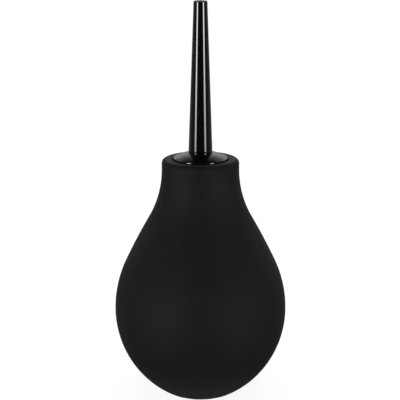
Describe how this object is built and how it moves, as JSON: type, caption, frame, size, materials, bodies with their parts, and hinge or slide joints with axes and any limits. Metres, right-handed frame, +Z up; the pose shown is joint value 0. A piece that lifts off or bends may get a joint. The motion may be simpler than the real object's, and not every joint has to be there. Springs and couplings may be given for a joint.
{
  "type": "dust blower bulb",
  "caption": "Pear-shaped black rubber squeeze bulb on a flat foot, with a domed collar in its neck and a long tapered screw-in nozzle; an intake valve sits in the foot.",
  "frame": {"origin": "on the axis, in the plane of the flat foot that the blower stands on", "axes": "+Z up the axis towards the nozzle's tip; the outside is a body of revolution, so +X and +Y are free, and -Y is taken as the front"},
  "size_m": [0.075, 0.075, 0.1733],
  "materials": {
    "bulb_rubber": "matte moulded black rubber",
    "collar_plastic": "glossy black moulded plastic",
    "nozzle_plastic": "glossy black moulded plastic",
    "seal_rubber": "smooth black seal rubber",
    "valve_plastic": "satin black moulded plastic",
    "valve_silicone": "translucent grey silicone rubber",
    "spring_wire": "drawn stainless wire",
    "screen_steel": "perforated stainless sheet"
  },
  "bodies": {
    "root": {"bulb": "bulb_rubber", "valve_body": "valve_plastic", "valve_cage": "valve_plastic", "valve_spring": "spring_wire", "intake_screen": "screen_steel", "screen_ring": "valve_plastic"},
    "collar_body": {"collar": "collar_plastic"},
    "seal_body": {"nozzle_o_ring": "seal_rubber"},
    "nozzle_body": {"nozzle": "nozzle_plastic"},
    "valve_disc_body": {"valve_disc": "valve_silicone"}
  },
  "joints": [
    {"name": "squeeze", "type": "slide", "parent": "root", "child": "collar_body", "axis": [0, 0, -1], "range_m": [0, 0.03], "stiffness_N_per_m": 700, "deforming": ["bulb"]},
    {"name": "nozzle_rise", "type": "slide", "parent": "collar_body", "child": "seal_body", "axis": [0, 0, 1], "range_m": [0, 0.008]},
    {"name": "nozzle_turn", "type": "hinge", "parent": "seal_body", "child": "nozzle_body", "pos_m": [0, 0, 0.1087], "axis": [0, 0, 1], "range_deg": [0, 1440]},
    {"name": "valve_lift", "type": "slide", "parent": "root", "child": "valve_disc_body", "axis": [0, 0, 1], "range_m": [0, 0.0012], "stiffness_N_per_m": 15, "springref_m": -0.0008, "deforming": ["valve_spring"]}
  ],
  "couplings": [
    {"joint": "nozzle_turn", "follows": "nozzle_rise", "rad_per_m": 3141.6}
  ]
}
